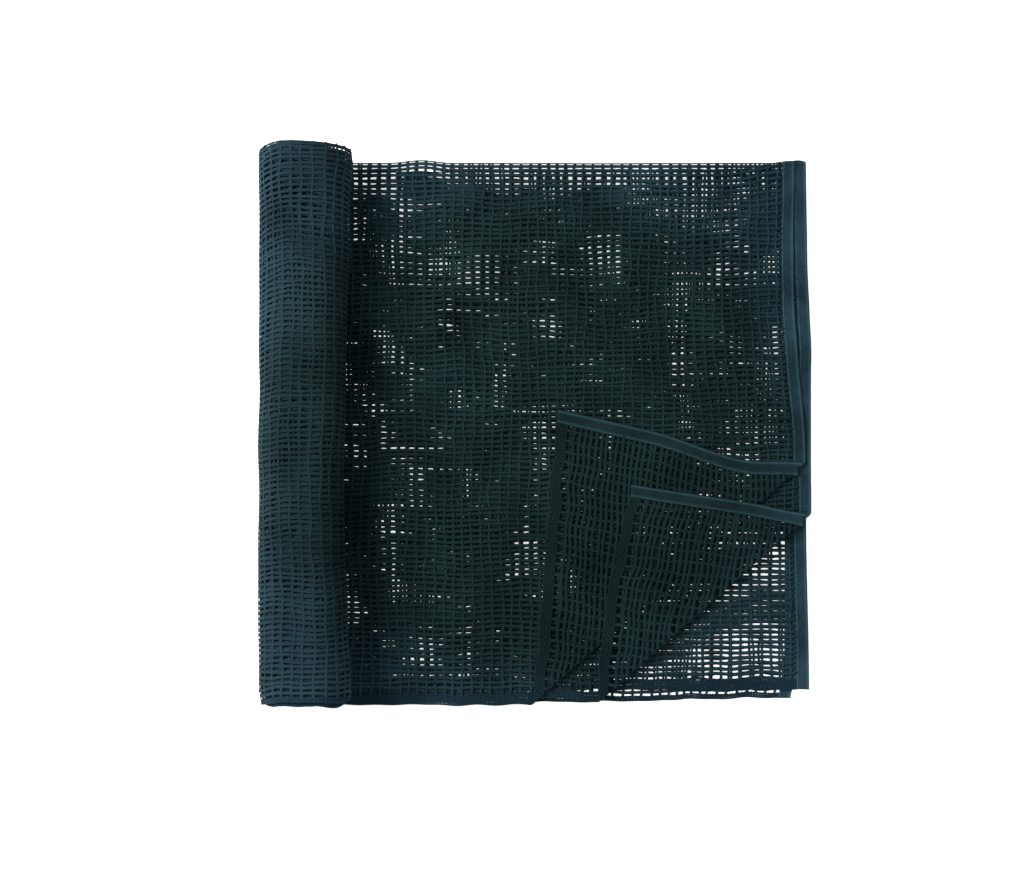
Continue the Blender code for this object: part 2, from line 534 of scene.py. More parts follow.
@dataclass
class Skin:
    """Collects closed tubes of points and makes one mesh of them."""

    sides: int = 5
    rings: list[np.ndarray] = field(default_factory=list)
    marks: list[np.ndarray] = field(default_factory=list)

    def add(self, tube: np.ndarray, mark: np.ndarray | None = None) -> None:
        """Add a tube.

        Args:
            tube: the array of the tube's rings of points.
            mark: how raised each point of a ring is, from 0 to 1, or None for a plain tube.
        """
        if len(tube) > 1:
            self.rings.append(tube)
            if mark is not None:
                self.marks.append(np.tile(mark, len(tube)))

    def lay(self, points: np.ndarray, normals: np.ndarray, width: np.ndarray, height: np.ndarray) -> None:
        """Add a yarn of oval section along a line.

        Args:
            points: the line's points.
            normals: the cloth's normal at each point.
            width: half the yarn's width at each point, in the cloth's plane.
            height: half the yarn's thickness at each point.
        """
        along = np.gradient(points, axis=0)
        along /= np.maximum(np.linalg.norm(along, axis=1), 1e-9)[:, None]
        side = np.cross(normals, along)
        side /= np.maximum(np.linalg.norm(side, axis=1), 1e-9)[:, None]
        up = np.cross(along, side)
        turn = 2 * math.pi / self.sides
        grown = math.sqrt(turn / math.sin(turn))
        angles = np.arange(self.sides) * turn + turn / 4
        sideways = (width * grown)[:, None, None] * np.cos(angles)[None, :, None] * side[:, None, :]
        upward = (height * grown)[:, None, None] * np.sin(angles)[None, :, None] * up[:, None, :]
        self.add(points[:, None, :] + sideways + upward)

    def build(self, name: str) -> bpy.types.Object:
        """Make the mesh object of all the tubes.

        Args:
            name: the object's name.

        Returns:
            The object, linked to the scene.
        """
        corners = []
        loops = []
        starts = []
        first = 0
        filled = 0
        for tube in self.rings:
            count, sides = tube.shape[:2]
            corners.append(tube.reshape(-1, 3))
            grid = first + np.arange(count * sides).reshape(count, sides)
            after = np.roll(grid, -1, axis=1)
            quads = np.stack([grid[:-1], after[:-1], after[1:], grid[1:]], axis=-1).reshape(-1, 4)
            loops.extend([quads.ravel(), grid[0][::-1], grid[-1]])
            starts.append(filled + 4 * np.arange(len(quads)))
            filled += 4 * len(quads)
            starts.append(np.array([filled, filled + sides]))
            filled += 2 * sides
            first += count * sides
        piece = mesh_object(name, np.concatenate(corners), np.concatenate(loops), np.concatenate(starts))
        if self.marks:
            raised = piece.data.attributes.new(RAISED, "FLOAT", "POINT")
            raised.data.foreach_set("value", np.concatenate(self.marks).astype(np.float32))
        return piece


def mesh_object(name: str, corners: np.ndarray, loops: np.ndarray, starts: np.ndarray) -> bpy.types.Object:
    """Make a smooth mesh object from arrays.

    Args:
        name: the object's name.
        corners: the vertices.
        loops: the vertex of each face corner.
        starts: the first face corner of each face.

    Returns:
        The object, linked to the scene.
    """
    mesh = bpy.data.meshes.new(name)
    mesh.vertices.add(len(corners))
    mesh.vertices.foreach_set("co", corners.astype(np.float32).ravel())
    mesh.loops.add(len(loops))
    mesh.loops.foreach_set("vertex_index", loops.astype(np.int32))
    mesh.polygons.add(len(starts))
    mesh.polygons.foreach_set("loop_start", starts.astype(np.int32))
    mesh.update(calc_edges=True)
    mesh.validate()
    mesh.shade_smooth()
    piece = bpy.data.objects.new(name, mesh)
    bpy.context.scene.collection.objects.link(piece)
    return piece


@dataclass(frozen=True)
class Weave:
    """An open or dense weave: the spacing and section of its yarns."""

    row_pitch: float = 0.0044
    column_pitch: float = 0.0078
    row_half_width: float = 0.00107
    column_half_width: float = 0.00088
    half_height: float = 0.00042
    column_flatness: float = 0.82
    crimp: float = 0.00017
    knot: float = 1.16
    slack: float = 0.00034

    def rows(self, low: float, high: float) -> np.ndarray:
        """Return the places of the rows between two values of v."""
        return self.places(low, high, self.row_pitch, 71)

    def rows_from(self, top: float, low: float) -> np.ndarray:
        """Return the places of the rows counted down from the long fold to a low value of v.

        Args:
            top: v at the long fold.
            low: the lowest value of v.

        Returns:
            The value of v of each row.
        """
        count = int((top - low) / self.row_pitch)
        off = np.random.default_rng(73).uniform(-0.07, 0.07, 200)[:count]
        return (top - (np.arange(count) + 0.5 + off) * self.row_pitch)[::-1]

    def columns(self, low: float, high: float) -> np.ndarray:
        """Return the places of the columns between two values of u."""
        return self.places(low, high, self.column_pitch, 72)

    def places(self, low: float, high: float, pitch: float, seed: int) -> np.ndarray:
        """Return places a pitch apart, each a little off.

        Args:
            low: where the places begin.
            high: where they end.
            pitch: the distance from one to the next.
            seed: picks how far each one is off.

        Returns:
            The places.
        """
        count = max(int(round((high - low) / pitch)), 1)
        even = low + (np.arange(count) + 0.5) * (high - low) / count
        return even + np.random.default_rng(seed + count).uniform(-0.07, 0.07, count) * pitch

    def yarn(self, crossed: np.ndarray, ends: tuple[float, float], index: int, open_ends: bool) -> np.ndarray:
        """Lay out one yarn along its own direction.

        Args:
            crossed: where the yarns that cross it lie.
            ends: where the yarn begins and ends.
            index: the yarn's own number.
            open_ends: whether the points halfway between crossings are left out.

        Returns:
            Columns of place, over-or-under (1 to -1) and thickness.
        """
        inner = (crossed > ends[0]) & (crossed < ends[1])
        numbers = np.arange(len(crossed))[inner]
        crossed = crossed[inner]
        sign = 1.0 - 2.0 * ((numbers + index) % 2)
        knots = np.column_stack([crossed, sign, np.full(len(crossed), self.knot)])
        bits = [knots]
        if not open_ends and len(crossed) > 1:
            middle = (crossed[:-1] + crossed[1:]) / 2
            bits.append(np.column_stack([middle, np.zeros(len(middle)), np.full(len(middle), 0.95)]))
        bits.append(np.array([[ends[0], 0.0, 1.0], [ends[1], 0.0, 1.0]]))
        line = np.concatenate(bits)
        return line[np.argsort(line[:, 0])]


@dataclass(frozen=True)
class Patch:
    """A rectangle of one weave in a layer: its limits in u and v, and its yarns."""

    layer: ClothLayer
    weave: Weave
    u_rows: tuple[float, float]
    v_columns: tuple[float, float]
    row_places: np.ndarray
    column_places: np.ndarray
    coarse: bool = False

    def strands(self, across: bool) -> list[Strand]:
        """Return the yarns of one direction.

        Args:
            across: whether they are the columns, which run along v across the rows.

        Returns:
            The yarns, each with its points in u, v, rise and thickness.
        """
        places, crossed, ends = self.row_places, self.column_places, self.u_rows
        slack, seed, apart, side = self.weave.slack, 81, 0.037, 1
        if across:
            places, crossed, ends = self.column_places, self.row_places, self.v_columns
            slack, seed, apart, side = self.weave.slack * 1.4, 91, 0.041, -1
        wander = Drift(slack, shortest=0.02, longest=0.07, seed=seed + self.layer.number)
        strands = []
        for index, place in enumerate(places):
            yarn = self.weave.yarn(crossed, ends, index, self.coarse)
            line = yarn[:, 0]
            moved = place + wander.at(line, np.full(len(line), apart * index))
            rise = side * self.weave.crimp * yarn[:, 1]
            lie = [moved, line] if across else [line, moved]
            strands.append(Strand(np.column_stack([*lie, rise, yarn[:, 2]])))
        return strands

    def weave_into(
        self,
        skin: Skin,
        depths: tuple[float, float] | None = None,
        finer: int = 1,
        fuller: float = 1.0,
    ) -> None:
        """Lay the patch's yarns into a skin.

        Args:
            skin: the skin that takes the yarns.
            depths: how far past the crease the yarns are kept, or None to keep all.
            finer: how many steps each step of a yarn is split into.
            fuller: how much wider than usual the yarns lie.
        """
        weave = self.weave
        flattened = weave.half_height * weave.column_flatness
        groups = (
            (self.strands(across=False), weave.row_half_width * fuller, weave.half_height),
            (self.strands(across=True), weave.column_half_width * fuller, flattened),
        )
        for strands, half_width, half_height in groups:
            for strand in strands:
                part = strand.finer(finer)
                if depths is not None:
                    part = part.between(self.layer.depth(part.line[:, 0], part.line[:, 1]), *depths)
                if part is None:
                    continue
                u, v, rise, thick = part.line.T
                points, normals = self.layer.place(u, v, rise)
                skin.lay(points, normals, half_width * thick, half_height * np.sqrt(thick))


@dataclass(frozen=True)
class Shading:
    """Adds nodes to the tree of one material or room."""

    tree: bpy.types.NodeTree

    def add(
        self,
        kind: str,
        inputs: dict[str | int, object],
        output: str | int = 0,
        **settings: str,
    ) -> bpy.types.NodeSocket:
        """Add a node.

        Args:
            kind: the node's type, without its usual first word.
            inputs: what each input is linked to or set to, by its name or its place.
            output: the name or the place of the output that is returned.
            settings: the node's own settings.

        Returns:
            The node's output.
        """
        node = self.tree.nodes.new(f"ShaderNode{kind}")
        for name, value in settings.items():
            setattr(node, name, value)
        for name, value in inputs.items():
            if isinstance(value, bpy.types.NodeSocket):
                self.tree.links.new(value, node.inputs[name])
            else:
                node.inputs[name].default_value = value
        return node.outputs[output]

    def ramp(
        self,
        share: bpy.types.NodeSocket,
        low: tuple[float, ...],
        high: tuple[float, ...],
        ends: tuple[float, float] = (0.50, 0.95),
    ) -> bpy.types.NodeSocket:
        """Add a colour ramp.

        Args:
            share: the value that the ramp is read at.
            low: the colour at and below the first of its ends.
            high: the colour at and above the second.
            ends: the values where the ramp begins and ends.

        Returns:
            The ramp's colour.
        """
        colour = self.add("ValToRGB", {0: share})
        for element, end, value in zip(colour.node.color_ramp.elements, ends, (low, high)):
            element.position = end
            element.color = (*value, 1.0)
        return colour


def times(colour: tuple[float, float, float], factors: tuple[float, float, float]) -> tuple[float, ...]:
    """Return a colour with each of its channels multiplied."""
    return tuple(channel * factor for channel, factor in zip(colour, factors))


@dataclass(frozen=True)
class ClothFinish:
    """Dyed yarn or cloth: uneven colour, a fine grain, and painted light that pales it outwards.

    deep and pale are the colours that its dye varies between, and outer how much
    paler each channel is towards the folded cloth's outer edges, painted light that
    leaves the middle darker. raised is how much paler the raised parts of a piece
    are, a painted highlight where light catches them.
    """

    name: str
    deep: tuple[float, float, float]
    pale: tuple[float, float, float]
    # Painted light: how much paler each channel grows towards the cloth's outer edges.
    outer: tuple[float, float, float] = (1.75, 1.65, 2.1)
    painted_light_reach: tuple[float, float] = (0.74, 1.12)
    half_size: tuple[float, float] = (0.235, 0.232)
    # Painted highlight: how much paler the raised parts are.
    raised: float = 0.0
    roughness: float = 0.78
    roughness_spread: float = 0.1
    sheen: float = 0.02
    sheen_roughness: float = 0.45
    specular: float = 0.06
    patch_scale: float = 16.0
    grain_scale: float = 900.0
    grain_share: float = 0.45
    grain_strength: float = 0.6
    grain_depth: float = 0.00022
    grain_shape: tuple[float, float, float] = (1.0, 1.0, 1.0)

    def material(self) -> bpy.types.Material:
        """Return the material, made once."""
        material = bpy.data.materials.get(self.name)
        if material is not None:
            return material
        material = bpy.data.materials.new(self.name)
        material.use_nodes = True
        shading = Shading(material.node_tree)
        place = shading.add("TexCoord", {}, "Object")
        shaped = shading.add("VectorMath", {0: place, 1: self.grain_shape}, operation="MULTIPLY")
        grain = shading.add("TexNoise", {"Vector": shaped, "Scale": self.grain_scale, "Detail": 2.0})
        matt = {
            "Value": grain,
            "To Min": self.roughness - self.roughness_spread,
            "To Max": self.roughness + self.roughness_spread,
        }
        bump = {"Strength": self.grain_strength, "Distance": self.grain_depth, "Height": grain}
        sockets = {
            "Base Color": self.colour(shading, place, grain),
            "Roughness": shading.add("MapRange", matt),
            "Normal": shading.add("Bump", bump),
        }
        shader = material.node_tree.nodes["Principled BSDF"]
        for name, socket in sockets.items():
            material.node_tree.links.new(socket, shader.inputs[name])
        shader.inputs["Sheen Weight"].default_value = self.sheen
        shader.inputs["Sheen Roughness"].default_value = self.sheen_roughness
        shader.inputs["Specular IOR Level"].default_value = self.specular
        return material

    def colour(
        self,
        shading: Shading,
        place: bpy.types.NodeSocket,
        grain: bpy.types.NodeSocket,
    ) -> bpy.types.NodeSocket:
        """Add the nodes of the dye.

        Args:
            shading: takes the nodes.
            place: the point that is coloured.
            grain: the grain's value there.

        Returns:
            The dye's colour.
        """
        patches = shading.add("TexNoise", {"Vector": place, "Scale": self.patch_scale, "Detail": 4.0})
        share = shading.add("Math", {0: grain, 1: self.grain_share, 2: patches}, operation="MULTIPLY_ADD")
        inner = shading.ramp(share, self.deep, self.pale)
        # Painted light: outer is the same ramp made paler and bluer, mixed in towards the cloth's outer edges
        # so the middle stays darker.
        outer = shading.ramp(share, times(self.deep, self.outer), times(self.pale, self.outer))
        scale = (1 / self.half_size[0], 1 / self.half_size[1], 0.0)
        scaled = shading.add("VectorMath", {0: place, 1: scale}, operation="MULTIPLY")
        reach = shading.add("VectorMath", {0: scaled}, "Value", operation="LENGTH")
        near = {"Value": reach, "From Min": self.painted_light_reach[0], "From Max": self.painted_light_reach[1]}
        outward = shading.add("MapRange", near, interpolation_type="SMOOTHSTEP")
        colour = shading.add("Mix", {0: outward, 6: inner, 7: outer}, 2, data_type="RGBA")
        if self.raised == 0:
            return colour
        # Painted highlight: raised parts are mixed towards a paler colour, as where light catches them.
        mark = shading.add("Attribute", {}, "Fac", attribute_name=RAISED)
        bead_highlight = (*times(self.pale, (self.raised,) * 3), 1.0)
        return shading.add("Mix", {0: mark, 6: colour, 7: bead_highlight}, 2, data_type="RGBA", blend_type="ADD")


# Each finish's outer sets how strong its painted light is towards the cloth's outer edges.
NET_YARN = ClothFinish("net_yarn", (0.0044, 0.0127, 0.0134), (0.0116, 0.0320, 0.0336))
TURNED_YARN = ClothFinish("turned_yarn", (0.0032, 0.0100, 0.0103), (0.0085, 0.0245, 0.0255))
TURNED_EDGE = ClothFinish(
    "turned_edge_yarn",
    (0.0030, 0.0090, 0.0098),
    (0.0076, 0.0210, 0.0228),
    outer=(1.5, 1.5, 2.0),
    grain_scale=1200.0,
)
EDGE_YARN = ClothFinish(
    "edge_yarn",
    (0.0038, 0.0110, 0.0120),
    (0.0092, 0.0250, 0.0275),
    outer=(1.5, 1.5, 2.2),
    grain_scale=1200.0,
)
# The hem tape's raised beads carry a painted highlight, and its outer ends strong painted light.
HEM_CLOTH = ClothFinish(
    "hem_cloth",
    (0.0036, 0.0100, 0.0118),
    (0.0092, 0.0240, 0.0275),
    outer=(2.5, 2.5, 3.0),
    raised=1.5,
    roughness=0.7,
    sheen=0.03,
    patch_scale=30.0,
    grain_scale=1400.0,
    grain_depth=0.00014,
    grain_shape=(1.0, 0.25, 1.0),
)
SEWING_THREAD = ClothFinish("sewing_thread", (0.005, 0.014, 0.016), (0.010, 0.027, 0.032), roughness=0.6)


def dress(piece: bpy.types.Object, finish: ClothFinish, slot: Slot) -> bpy.types.Object:
    """Give a piece its finish.

    Args:
        piece: the piece.
        finish: what it is finished with.
        slot: not used.

    Returns:
        The piece.
    """
    piece.data.materials.append(finish.material())
    LOG.info("%s: %d faces", piece.name, len(piece.data.polygons))
    return piece


@dataclass(frozen=True)
class HemTape:
    """The folded tape sewn along a hemmed end, with its sewing thread."""

    layer: ClothLayer
    half_edge: float = 0.00063
    half_middle: float = 0.00030
    bead: float = 0.0013
    stations: int = 15
    step: float = 0.0016
    bend_step: float = 0.0004
    stitch: float = 0.0021
    stitch_pitch: float = 0.0031
    stitch_inset: float = 0.0016

    @property
    def width(self) -> float:
        """The tape's width."""
        return self.layer.hem_outer - self.layer.hem_inner

    def section(self) -> tuple[np.ndarray, np.ndarray]:
        """Return u and rise round the tape's section, its upper face first."""
        share = (1 - np.cos(math.pi * np.arange(self.stations) / (self.stations - 1))) / 2
        across = 0.55 * share + 0.45 * np.arange(self.stations) / (self.stations - 1)
        from_edge = np.minimum(across, 1 - across) * self.width
        half = self.half_middle + (self.half_edge - self.half_middle) * np.exp(
            -(((from_edge - self.bead) / (self.bead * 0.7)) ** 2)
        )
        half *= np.sqrt(np.clip(from_edge / (self.bead * 0.5), 0.12, 1.0))
        u = -across * self.width
        return np.concatenate([u, u[::-1]]), np.concatenate([half, -half[::-1]])

    def raised(self) -> np.ndarray:
        """Return how raised each point of the section is, from 0 to 1, the mask of its painted highlight."""
        rise = np.abs(self.section()[1])
        return ease((rise - self.half_middle) / (self.half_edge - self.half_middle))

    def tube(self, places: np.ndarray) -> np.ndarray:
        """Return the tape's rings at the given values of v.

        Args:
            places: v of each ring.

        Returns:
            The rings' points.
        """
        u, rise = self.section()
        pucker = Drift(0.00009, shortest=0.006, longest=0.02, seed=101 + self.layer.number)
        rings = []
        for v in places:
            along = np.full(len(u), v)
            rings.append(self.layer.place(u, along, rise + pucker.at(u, along))[0])
        return np.array(rings)

    @property
    def low(self) -> float:
        """The value of v at the tape's low end."""
        return self.layer.low - self.layer.inner_y

    def cut(self, depth: float) -> float:
        """Return v where the tape's middle lies at a depth past the crease, or its low end.

        Args:
            depth: the depth past the crease.

        Returns:
            The value of v.
        """
        if self.layer.crease is None:
            return self.low
        places = np.arange(self.low, self.layer.span, 0.0002)
        depths = self.layer.depth(np.full(len(places), -self.width / 2), places)
        return float(places[depths > depth].max())

    @property
    def flat_from(self) -> float:
        """The value of v where the flat layer's tape begins."""
        crease = self.layer.crease
        return self.low if crease is None else self.cut(-crease.radius - CREASE_MARGIN)

    @property
    def flap_to(self) -> float:
        """The value of v where the turned corner's tape ends, at the crease."""
        return self.cut(self.layer.crease.end - self.layer.crease.radius)

    def piece(self, name: str, low: float, high: float, step: float) -> bpy.types.Object:
        """Make one stretch of the tape.

        Args:
            name: the object's name, without the layer's number.
            low: v where the stretch begins.
            high: v where it ends.
            step: the distance between its rings.

        Returns:
            The stretch.
        """
        skin = Skin()
        places = np.linspace(low, high, max(int((high - low) / step), 1) + 1)
        skin.add(self.tube(places), self.raised())
        return dress(skin.build(f"{name}_{self.layer.number}"), HEM_CLOTH, Slot.TAPE)

    def flat_piece(self) -> bpy.types.Object:
        """Make the tape of the flat layer."""
        return self.piece("hem_tape", self.flat_from, self.layer.span, self.step)

    def crease_piece(self) -> bpy.types.Object:
        """Make the tape's stretch that bends over the crease."""
        past = self.cut(self.layer.crease.end + BEND_MARGIN)
        return self.piece("hem_crease", past, self.flat_from, self.bend_step)

    def flap_piece(self) -> bpy.types.Object:
        """Make the tape of the turned corner."""
        return self.piece("hem_flap", self.low, self.flap_to, self.step)

    def stitches(self, name: str, low: float, high: float, face: float) -> bpy.types.Object:
        """Make a line of stitches along the tape's inner side.

        Args:
            name: the object's name.
            low: v where the line begins.
            high: v where it ends.
            face: 1 for the layer's upper face, -1 for its lower face.

        Returns:
            The stitches as one object.
        """
        skin = Skin()
        shape = np.array([-1.0, -0.8, -0.3, 0.3, 0.8, 1.0])
        full = np.array([0.35, 0.75, 1.0, 1.0, 0.75, 0.35])
        for v in np.arange(low + self.stitch_pitch, high - self.stitch_pitch, self.stitch_pitch):
            places = v + shape * self.stitch / 2
            u = np.full(len(places), -self.stitch_inset)
            rise = face * (self.half_edge + 0.00012 * (full - 0.5))
            points, normals = self.layer.place(u, places, rise)
            skin.lay(points, normals, 0.00022 * full, 0.00016 * full)
        return dress(skin.build(name), SEWING_THREAD, Slot.TAPE)


EDGE_WEAVE = Weave(
    row_pitch=0.00142,
    column_pitch=0.0024,
    row_half_width=0.00066,
    column_half_width=0.00058,
    half_height=0.00036,
    crimp=0.0002,
    knot=1.08,
    slack=0.00008,
)
IN_NET = (NET_YARN, Slot.NET)
IN_EDGE = (EDGE_YARN, Slot.EDGE)
TURNED_NET = Weave(half_height=0.00034, crimp=0.00012)
TURNED_BAND = replace(EDGE_WEAVE, half_height=0.0003, crimp=0.00014)


@dataclass(frozen=True)
class LayerBuild:
    """Builds the net, woven edge and hem of one layer, its corner and its wound stretch."""

    layer: ClothLayer
    net: Weave = Weave()
    band: Weave = EDGE_WEAVE
    band_sides: int = 4
    bunching: float = 1.15
    upper_fullness: float = 1.12
    pair_offset: float = 0.0018
    overlap: float = 1.25

    @property
    def number(self) -> int:
        """The layer's number."""
        return self.layer.number

    def net_patch(self, low: float, high: float, columns: np.ndarray, coarse: bool) -> Patch:
        """Return the patch of net between two values of u.

        Args:
            low: u where the patch begins.
            high: u where it ends.
            columns: the places of all the layer's columns.
            coarse: whether the points halfway between crossings are left out.

        Returns:
            The patch.
        """
        layer = self.layer
        band_top = layer.low + layer.band_width - layer.inner_y
        top = layer.span - (self.pair_offset if self.number <= 2 else 0.0)
        rows = self.net.rows_from(top, band_top)
        inside = columns[(columns > low) & (columns < high)]
        limits = (band_top - BAND_MARGIN, layer.span)
        return Patch(layer, self.net, (low, high), limits, rows, inside, coarse)

    def net_columns(self) -> np.ndarray:
        """Return the places of all the layer's columns, in the flat and in the roll."""
        return self.net.columns(0.0, self.layer.flat_length + self.layer.roll.length)

    def band_patch(self, low: float, high: float) -> Patch:
        """Return the patch of woven edge between two values of u.

        Args:
            low: u where the patch begins.
            high: u where it ends.

        Returns:
            The patch.
        """
        bottom = self.layer.low - self.layer.inner_y
        top = bottom + self.layer.band_width
        rows = self.band.rows(bottom, top)
        columns = self.band.columns(low, high)
        limits = (bottom + 0.0003, top + 0.0003)
        return Patch(self.layer, self.band, (low, high), limits, rows, columns)

    def whole_net(self) -> Patch:
        """Return the net of the flat layer with its corner."""
        return self.net_patch(-0.002, self.layer.flat_length, self.net_columns(), False)

    def whole_band(self) -> Patch:
        """Return the woven edge of the flat layer with its corner."""
        return self.band_patch(0.0, self.layer.flat_length)

    @property
    def outer_turn(self) -> float:
        """The length of cloth in the roll's outer turn, with its overlap."""
        return self.layer.roll.length / self.layer.roll.turns * self.overlap

    def woven(
        self,
        word: str,
        patch: Patch,
        dressing: tuple[ClothFinish, Slot],
        sides: int,
        depths: tuple[float, float] | None = None,
        finer: int = 1,
        fuller: float = 1.0,
    ) -> bpy.types.Object:
        """Make one woven piece.

        Args:
            word: the object's name, without the layer's number.
            patch: the patch that it is woven from.
            dressing: its finish, and a slot name that dress doesn't use.
            sides: how many sides a yarn has.
            depths: how far past the crease the yarns are kept, or None to keep all.
            finer: how many steps each step of a yarn is split into.
            fuller: how much wider than usual the yarns lie.

        Returns:
            The piece.
        """
        skin = Skin(sides=sides)
        patch.weave_into(skin, depths, finer, fuller)
        return dress(skin.build(f"{word}_{self.number}"), *dressing)

    def flat_net(self) -> bpy.types.Object:
        """Make the net of the flat layer.

        Returns:
            The net.
        """
        sides, fuller = (5, self.upper_fullness) if self.number <= 2 else (4, 1.0)
        patch = self.whole_net()
        piece = self.woven("mesh_layer", patch, IN_NET, sides, self.before_crease(), fuller=fuller)
        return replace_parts(piece, f"layer_{self.number}_net")

    def before_crease(self) -> tuple[float, float] | None:
        """Return the depths of the flat layer, short of its crease."""
        crease = self.layer.crease
        return None if crease is None else (-2.0, -crease.radius - CREASE_MARGIN)

    def flat_band(self) -> bpy.types.Object:
        """Make the woven edge of the flat layer.

        Returns:
            The woven edge.
        """
        patch = self.whole_band()
        piece = self.woven("selvage_band", patch, IN_EDGE, self.band_sides, self.before_crease())
        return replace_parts(piece, f"layer_{self.number}_selvage")

    def flat_hem(self) -> list[bpy.types.Object]:
        """Make the hem of the flat layer, with its stitches.

        Returns:
            The tape and its stitches.
        """
        tape = HemTape(self.layer)
        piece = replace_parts(tape.flat_piece(), f"layer_{self.number}_hem")
        return [piece, tape.stitches(f"hem_stitches_{self.number}", tape.flat_from, self.layer.span, 1.0)]

    def turned_pieces(self) -> tuple[list[bpy.types.Object], list[bpy.types.Object]]:
        """Make the turned corner's pieces.

        Returns:
            The pieces of the corner itself, its net first, and those that bend over the crease.
        """
        crease = self.layer.crease
        flat = replace(self, layer=replace(self.layer, laid=True), net=TURNED_NET, band=TURNED_BAND)
        bent = replace(self, net=TURNED_NET, band=TURNED_BAND)
        past = (crease.end - crease.radius, 2.0)
        over = (-crease.radius - CREASE_MARGIN, crease.end + BEND_MARGIN)
        full = self.upper_fullness
        kinds = (
            ("mesh", LayerBuild.whole_net, (TURNED_YARN, Slot.NET), 5, 6),
            ("selvage", LayerBuild.whole_band, (TURNED_EDGE, Slot.EDGE), self.band_sides, 3),
        )
        corner = []
        bends = []
        for word, patch, dressing, sides, finer in kinds:
            corner.append(self.woven(f"{word}_flap", patch(flat), dressing, sides, past, fuller=full))
            bent_patch = patch(bent)
            bends.append(self.woven(f"{word}_crease", bent_patch, dressing, sides, over, finer, full))
        tape = HemTape(flat.layer, half_edge=TURNED_TAPE_HALF)
        corner.append(tape.flap_piece())
        bends.append(HemTape(self.layer, half_edge=TURNED_TAPE_HALF).crease_piece())
        for face, word in ((1.0, "under"), (-1.0, "over")):
            corner.append(tape.stitches(f"flap_stitches_{word}_{self.number}", tape.low, tape.flap_to, face))
        for piece, part in zip(corner, ("net", "selvage", "hem")):
            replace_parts(piece, f"flap_{self.number}_{part}")
        return corner, bends

    def wound_pieces(self) -> list[bpy.types.Object]:
        """Make the wound stretch: the net's outer turn, its inner turns and the woven edge.

        Returns:
            The outer turn's net, the inner turns' net and the woven edge.
        """
        start = self.layer.flat_length
        middle = start + self.outer_turn
        end = start + self.layer.roll.length
        columns = self.net_columns()
        sides = 5 if self.number >= 3 else 4
        patch = self.net_patch(start, middle, columns, False)
        outer = self.woven("mesh_roll_outer", patch, IN_NET, sides, fuller=self.bunching)
        patch = self.net_patch(middle, end, columns, True)
        inner = self.woven("mesh_roll_inner", patch, IN_NET, 4, fuller=self.bunching)
        band = self.woven("selvage_roll", self.band_patch(start, end), IN_EDGE, self.band_sides)
        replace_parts(outer, f"roll_{self.number}_net")
        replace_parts(band, f"roll_{self.number}_selvage")
        return [outer, inner, band]


@dataclass(frozen=True)
class PairFold:
    """The long fold that joins two layers at their upper edges."""

    upper: ClothLayer
    lower: ClothLayer
    weave: Weave = Weave()
    leg: float = 0.003
    row_at: float = 0.0012
    steps: int = 8

    def bend(self, low: np.ndarray, high: np.ndarray, normal: np.ndarray) -> tuple[np.ndarray, np.ndarray]:
        """Lay a line from the lower layer's edge over the fold to the upper layer's.

        Args:
            low: the point at the lower layer's edge.
            high: the point at the upper layer's edge.
            normal: the cloth's normal at the lower point.

        Returns:
            The line's points, and the cloth's normals along it.
        """
        radius = float(np.linalg.norm(high - low)) / 2
        angles = np.linspace(0.0, math.pi, self.steps + 1)
        share = (1 - np.cos(angles)) / 2
        arc = low + (high - low) * share[:, None]
        arc = arc + Y_AXIS * (self.leg + min(radius, 0.0009) * np.sin(angles))[:, None]
        turned = normal * np.cos(angles)[:, None] - Y_AXIS * np.sin(angles)[:, None]
        points = np.concatenate([[low], arc, [high]])
        return points, np.concatenate([[normal], turned, [-normal]])

    def net(self, name: str, columns: np.ndarray, sides: int) -> bpy.types.Object:
        """Make the fold's net: each column goes over it, and one row runs along it.

        Args:
            name: the object's name.
            columns: the places of the columns.
            sides: how many sides a yarn has.

        Returns:
            The fold's net as one object.
        """
        skin = Skin(sides=sides)
        zero = np.zeros(len(columns))
        high, high_normals = self.upper.place(columns, np.full(len(columns), self.upper.span), zero)
        low, low_normals = self.lower.place(columns, np.full(len(columns), self.lower.span), zero)
        edge = []
        for index in range(len(columns)):
            points, normals = self.bend(low[index], high[index], low_normals[index])
            thick = np.full(len(points), self.weave.column_half_width)
            skin.lay(points, normals, thick, np.full(len(points), self.weave.half_height))
            edge.append(points[len(points) // 2])
        outward = np.tile(-Y_AXIS, (len(columns), 1))
        rows = (
            (np.array(edge), outward),
            (low + Y_AXIS * self.row_at, low_normals),
            (high + Y_AXIS * self.row_at, high_normals),
        )
        thick = np.full(len(columns), self.weave.row_half_width)
        for row, normals in rows:
            skin.lay(row, normals, thick, np.full(len(row), self.weave.half_height))
        return dress(skin.build(name), NET_YARN, Slot.NET)

    def hem(self, name: str) -> bpy.types.Object:
        """Make the stretch of hem tape that goes over the fold.

        Args:
            name: the object's name.

        Returns:
            The stretch of tape.
        """
        u, rise = HemTape(self.upper).section()
        rise = np.clip(rise, -0.0006, 0.0005)
        zero = np.zeros(len(u))
        high, high_normals = self.upper.place(u, np.full(len(u), self.upper.span), zero)
        low, low_normals = self.lower.place(u, np.full(len(u), self.lower.span), zero)
        lines = []
        for index in range(len(u)):
            points, normals = self.bend(low[index], high[index], low_normals[index])
            lines.append(points + normals * rise[index])
        skin = Skin()
        skin.add(np.array(lines).transpose(1, 0, 2), HemTape(self.upper).raised())
        return dress(skin.build(name), HEM_CLOTH, Slot.TAPE)


